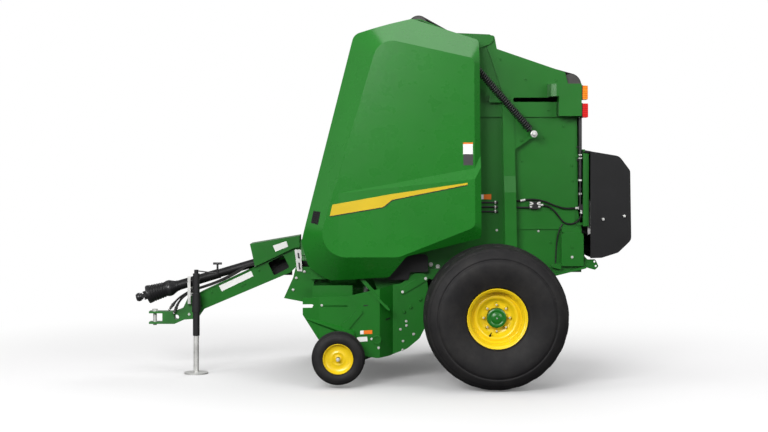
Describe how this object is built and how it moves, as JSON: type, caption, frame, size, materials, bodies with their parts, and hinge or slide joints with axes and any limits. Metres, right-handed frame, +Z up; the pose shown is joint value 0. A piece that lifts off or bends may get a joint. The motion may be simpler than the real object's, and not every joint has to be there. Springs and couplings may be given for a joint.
{
  "type": "round baler",
  "caption": "Towed round baler with tined pickup, belt chamber, hinged tailgate, rear net wrap cover, gull-wing side shields and a parking jack.",
  "frame": {"origin": "on the ground below the middle of the machine's box", "axes": "+X from the hitch to the tailgate, +Y to the machine's right, +Z up"},
  "size_m": [3.9242, 2.5, 2.83],
  "materials": {
    "green_paint": "gloss",
    "yellow_paint": "gloss",
    "black_paint": "satin",
    "black_plastic": "satin",
    "tyre_rubber": "matte",
    "belt_rubber": "matte",
    "zinc_steel": "satin",
    "dark_steel": "satin",
    "cast_green": "satin",
    "amber_lens": "gloss",
    "red_lens": "gloss",
    "shield_green": "gloss",
    "hose_rubber": "matte"
  },
  "bodies": {
    "frame": {"front_walls": "green_paint", "frame_rails": "green_paint", "axle_beam": "green_paint", "rear_posts": "green_paint", "front_beam": "green_paint", "tongue": "green_paint", "hitch_clevis": "cast_green", "hitch_pin": "zinc_steel", "driveline": "black_plastic", "driveline_yoke": "dark_steel", "driveline_hood": "green_paint", "gearbox": "cast_green", "parking_jack": "black_paint", "front_panel": "green_paint", "drive_guards": "black_plastic", "tension_springs": "black_paint", "shield_hinges": "green_paint", "chain_drive": "dark_steel", "front_rolls": "dark_steel", "front_belts": "belt_rubber", "side_pipes": "black_paint", "hose_couplers": "zinc_steel", "tongue_hose_1": "hose_rubber", "tongue_hose_2": "hose_rubber", "tongue_hose_3": "hose_rubber"},
    "tailgate": {"gate_walls": "green_paint", "lamp_brackets": "green_paint", "net_frame": "green_paint", "net_tray": "zinc_steel", "gate_rolls": "dark_steel", "gate_belts": "belt_rubber", "lamps_amber": "amber_lens", "lamps_red": "red_lens", "gate_hydraulics": "black_paint", "gate_hose_upper": "hose_rubber", "gate_hose_lower": "hose_rubber"},
    "net_cover": {"net_cover": "black_plastic"},
    "pickup": {"pickup_frame": "green_paint", "pickup_floor": "green_paint", "pickup_bands": "green_paint", "windguard": "green_paint"},
    "reel": {"pickup_reel": "dark_steel"},
    "feed_rotor": {"feed_rotor": "dark_steel"},
    "jack_leg": {"jack_leg": "zinc_steel"},
    "wheel_left": {"tyre_left": "tyre_rubber", "rim_left": "yellow_paint", "hub_left": "green_paint"},
    "gauge_wheel_left": {"gauge_tyre_left": "tyre_rubber", "gauge_rim_left": "yellow_paint"},
    "shield_left": {"shield_left": "shield_green"},
    "ram_tube_left": {"ram_tube_left": "green_paint"},
    "ram_rod_left": {"ram_rod_left": "zinc_steel"},
    "wheel_right": {"tyre_right": "tyre_rubber", "rim_right": "yellow_paint", "hub_right": "green_paint"},
    "gauge_wheel_right": {"gauge_tyre_right": "tyre_rubber", "gauge_rim_right": "yellow_paint"},
    "shield_right": {"shield_right": "shield_green"},
    "ram_tube_right": {"ram_tube_right": "green_paint"},
    "ram_rod_right": {"ram_rod_right": "zinc_steel"}
  },
  "joints": [
    {"name": "tailgate_hinge", "type": "hinge", "parent": "frame", "child": "tailgate", "pos_m": [0.88, 0, 2.64], "axis": [0, -1, 0], "range_deg": [0, 45]},
    {"name": "net_cover_hinge", "type": "hinge", "parent": "tailgate", "child": "net_cover", "pos_m": [1.604, 0, 1.778], "axis": [0, -1, 0], "range_deg": [0, 70]},
    {"name": "pickup_hinge", "type": "hinge", "parent": "frame", "child": "pickup", "pos_m": [0.34, 0, 0.8], "axis": [0, 1, 0], "range_deg": [-2.2, 10]},
    {"name": "reel_spin", "type": "hinge", "parent": "pickup", "child": "reel", "pos_m": [-0.29, 0, 0.255], "axis": [0, 1, 0], "continuous": true},
    {"name": "rotor_spin", "type": "hinge", "parent": "frame", "child": "feed_rotor", "pos_m": [0.15, 0, 0.56], "axis": [0, 1, 0], "continuous": true},
    {"name": "jack_slide", "type": "slide", "parent": "frame", "child": "jack_leg", "axis": [0, 0, 1], "range_m": [0, 0.25]},
    {"name": "wheel_left_spin", "type": "hinge", "parent": "frame", "child": "wheel_left", "pos_m": [0.895, -0.98, 0.54], "axis": [0, 1, 0], "continuous": true},
    {"name": "gauge_wheel_left_spin", "type": "hinge", "parent": "pickup", "child": "gauge_wheel_left", "pos_m": [-0.28, -0.97, 0.226], "axis": [0, 1, 0], "continuous": true},
    {"name": "shield_left_hinge", "type": "hinge", "parent": "frame", "child": "shield_left", "pos_m": [0.28, -0.7, 2.72], "axis": [-1, 0, 0], "range_deg": [0, 65]},
    {"name": "ram_left_swing", "type": "hinge", "parent": "frame", "child": "ram_tube_left", "pos_m": [-0.14, -0.655, 1.7], "axis": [0, -1, 0], "range_deg": [-26.62, 0]},
    {"name": "ram_left_stroke", "type": "slide", "parent": "ram_tube_left", "child": "ram_rod_left", "axis": [0.7926, 0, 0.6097], "range_m": [0, 0.413]},
    {"name": "wheel_right_spin", "type": "hinge", "parent": "frame", "child": "wheel_right", "pos_m": [0.895, 0.98, 0.54], "axis": [0, 1, 0], "continuous": true},
    {"name": "gauge_wheel_right_spin", "type": "hinge", "parent": "pickup", "child": "gauge_wheel_right", "pos_m": [-0.28, 0.97, 0.226], "axis": [0, 1, 0], "continuous": true},
    {"name": "shield_right_hinge", "type": "hinge", "parent": "frame", "child": "shield_right", "pos_m": [0.28, 0.7, 2.72], "axis": [1, 0, 0], "range_deg": [0, 65]},
    {"name": "ram_right_swing", "type": "hinge", "parent": "frame", "child": "ram_tube_right", "pos_m": [-0.14, 0.655, 1.7], "axis": [0, -1, 0], "range_deg": [-26.62, 0]},
    {"name": "ram_right_stroke", "type": "slide", "parent": "ram_tube_right", "child": "ram_rod_right", "axis": [0.7926, 0, 0.6097], "range_m": [0, 0.413]}
  ],
  "couplings": [
    {"joint": "ram_left_swing", "follows": "tailgate_hinge", "ratio": -0.58943},
    {"joint": "ram_left_stroke", "follows": "tailgate_hinge", "m_per_rad": 0.5246},
    {"joint": "ram_right_swing", "follows": "tailgate_hinge", "ratio": -0.58943},
    {"joint": "ram_right_stroke", "follows": "tailgate_hinge", "m_per_rad": 0.5246}
  ]
}
